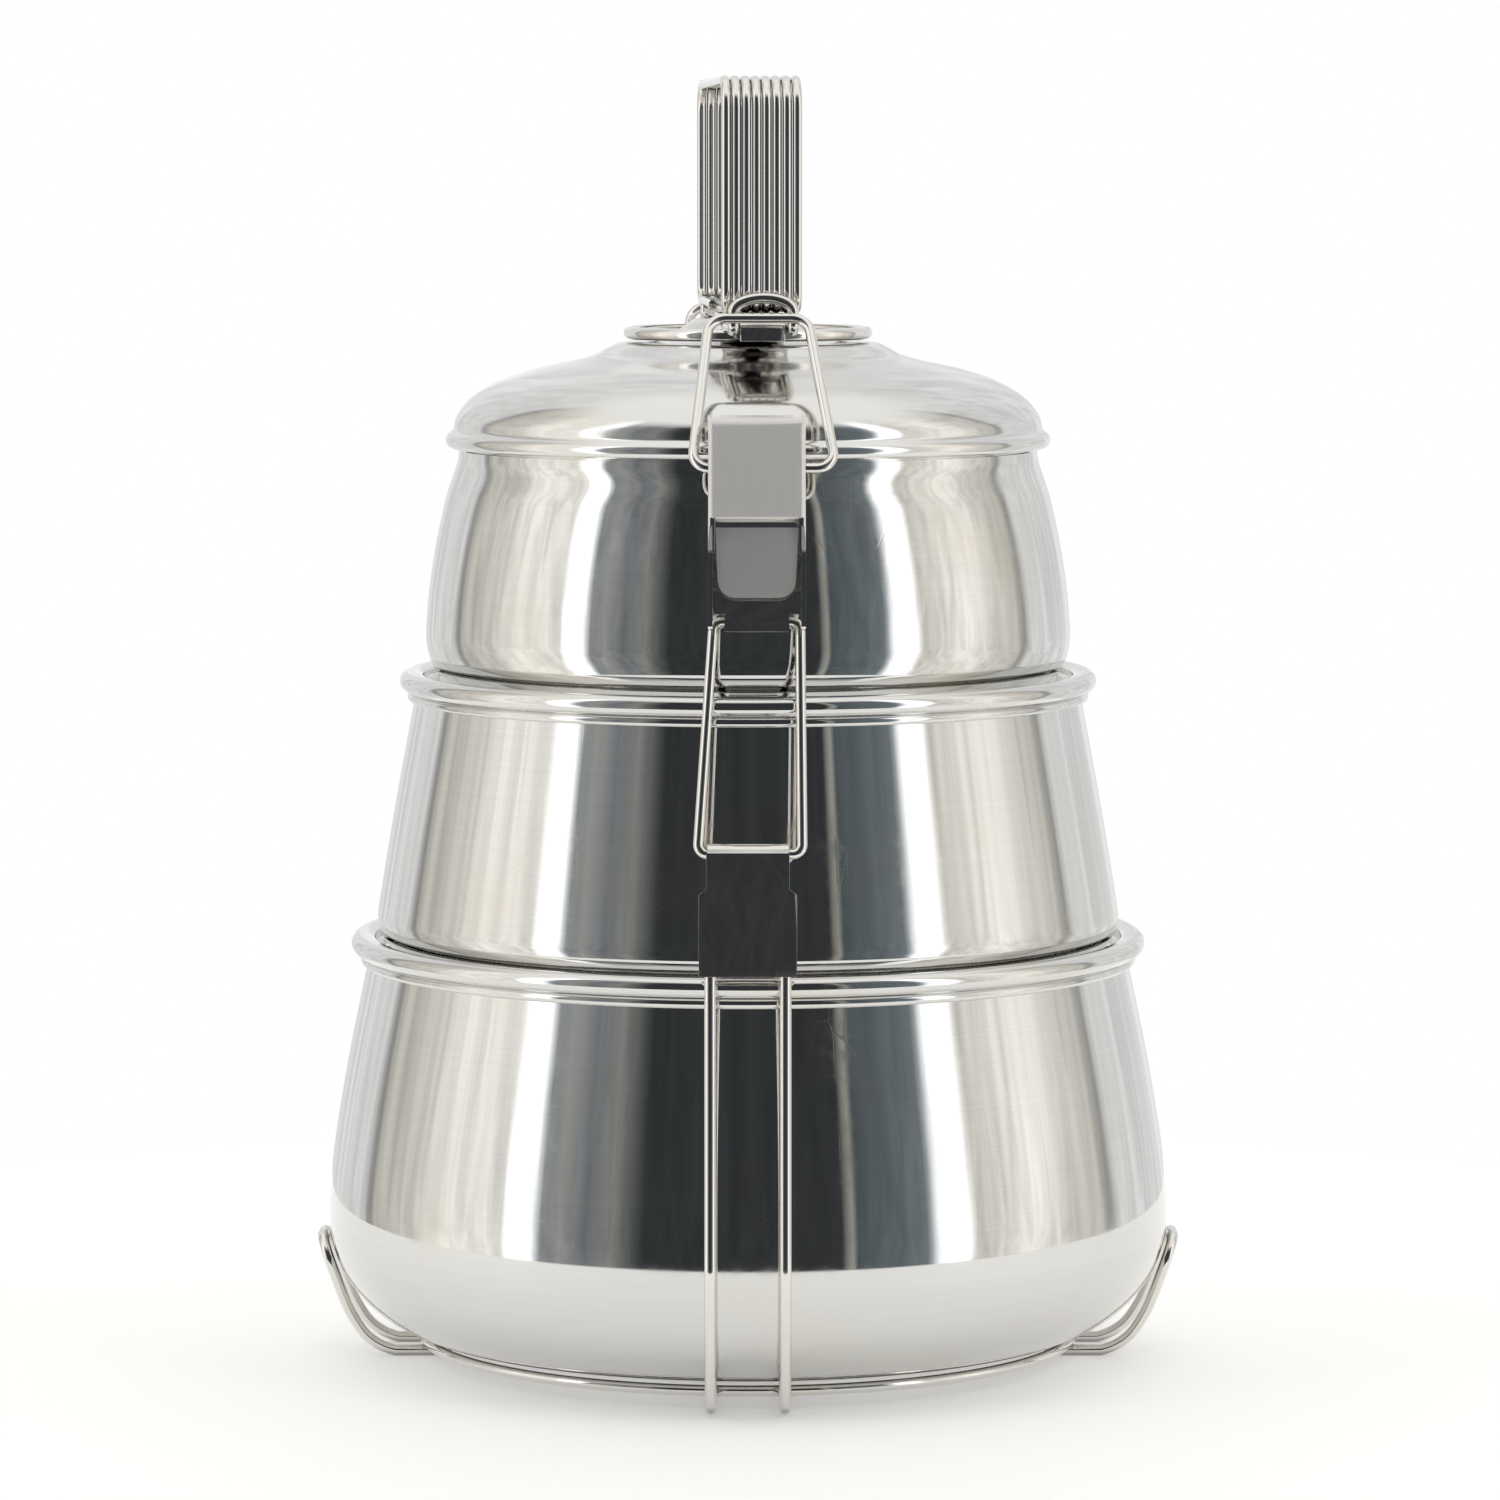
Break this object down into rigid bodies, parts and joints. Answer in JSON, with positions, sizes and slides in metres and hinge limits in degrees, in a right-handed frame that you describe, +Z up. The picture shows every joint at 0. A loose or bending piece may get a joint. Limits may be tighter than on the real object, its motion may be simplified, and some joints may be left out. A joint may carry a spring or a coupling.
{
  "type": "tiffin carrier",
  "caption": "Stacked stainless steel food carrier: nested round bowls under a domed lid with a wire coil handle, in a wire cradle tied by toggle latches.",
  "frame": {"origin": "centre of the footprint, on the table", "axes": "+Z up, the front latch faces -Y, +X to the right seen from the front"},
  "size_m": [0.1724, 0.1734, 0.2541],
  "materials": {
    "bowl": "polished",
    "lid": "polished, slightly softer",
    "wire": "polished wire",
    "stamped": "stamped sheet",
    "lever": "stamped sheet, satin tongue"
  },
  "bodies": {
    "frame": {"bottom_bowl": "bowl", "cradle_wire_left": "wire", "cradle_wire_right": "wire", "side_loop_left": "wire", "side_loop_right": "wire", "base_ring": "wire", "front_anchor_plate": "stamped", "rear_anchor_plate": "stamped"},
    "middle_bowl": {"middle_bowl": "bowl"},
    "top_bowl": {"top_bowl": "bowl"},
    "lid": {"lid": "lid", "lid_ring": "wire", "handle_strap": "stamped", "front_hook": "wire", "rear_hook": "wire", "handle_coil": "wire"},
    "front_link": {"front_link": "wire"},
    "front_case": {"front_latch_case": "stamped", "front_lever_pin": "stamped"},
    "front_lever": {"front_lever": "lever"},
    "front_bail": {"front_bail": "wire"},
    "rear_link": {"rear_link": "wire"},
    "rear_case": {"rear_latch_case": "stamped", "rear_lever_pin": "stamped"},
    "rear_lever": {"rear_lever": "lever"},
    "rear_bail": {"rear_bail": "wire"}
  },
  "joints": [
    {"name": "middle_bowl_lift", "type": "slide", "parent": "frame", "child": "middle_bowl", "axis": [0, 0, 1], "range_m": [0, 0.035]},
    {"name": "top_bowl_lift", "type": "slide", "parent": "middle_bowl", "child": "top_bowl", "axis": [0, 0, 1], "range_m": [0, 0.035]},
    {"name": "lid_lift", "type": "slide", "parent": "top_bowl", "child": "lid", "axis": [0, 0, 1], "range_m": [0, 0.035]},
    {"name": "front_link_swing", "type": "hinge", "parent": "frame", "child": "front_link", "pos_m": [0, -0.0786, 0.1082], "axis": [1, 0, 0], "range_deg": [0, 75]},
    {"name": "front_case_fold", "type": "hinge", "parent": "front_link", "child": "front_case", "pos_m": [0.0017, -0.06568, 0.15092], "axis": [1, 0, 0], "range_deg": [0, 30]},
    {"name": "front_lever_open", "type": "hinge", "parent": "front_case", "child": "front_lever", "pos_m": [0.0017, -0.0647, 0.187], "axis": [-1, 0, 0], "range_deg": [0, 110]},
    {"name": "front_bail_swing", "type": "hinge", "parent": "front_lever", "child": "front_bail", "pos_m": [0.0017, -0.06644, 0.18], "axis": [1, 0, 0], "range_deg": [0, 132]},
    {"name": "rear_link_swing", "type": "hinge", "parent": "frame", "child": "rear_link", "pos_m": [0, 0.0786, 0.1082], "axis": [-1, 0, 0], "range_deg": [0, 75]},
    {"name": "rear_case_fold", "type": "hinge", "parent": "rear_link", "child": "rear_case", "pos_m": [-0.0017, 0.06568, 0.15092], "axis": [-1, 0, 0], "range_deg": [0, 30]},
    {"name": "rear_lever_open", "type": "hinge", "parent": "rear_case", "child": "rear_lever", "pos_m": [-0.0017, 0.0647, 0.187], "axis": [1, 0, 0], "range_deg": [0, 110]},
    {"name": "rear_bail_swing", "type": "hinge", "parent": "rear_lever", "child": "rear_bail", "pos_m": [-0.0017, 0.06644, 0.18], "axis": [-1, 0, 0], "range_deg": [0, 132]}
  ],
  "couplings": [
    {"joint": "top_bowl_lift", "follows": "middle_bowl_lift", "ratio": 1},
    {"joint": "lid_lift", "follows": "middle_bowl_lift", "ratio": 1},
    {"joint": "front_link_swing", "follows": "middle_bowl_lift", "rad_per_m": 37.3},
    {"joint": "front_bail_swing", "follows": "front_lever_open", "ratio": 1.2},
    {"joint": "rear_link_swing", "follows": "middle_bowl_lift", "rad_per_m": 37.3},
    {"joint": "rear_bail_swing", "follows": "rear_lever_open", "ratio": 1.2}
  ]
}
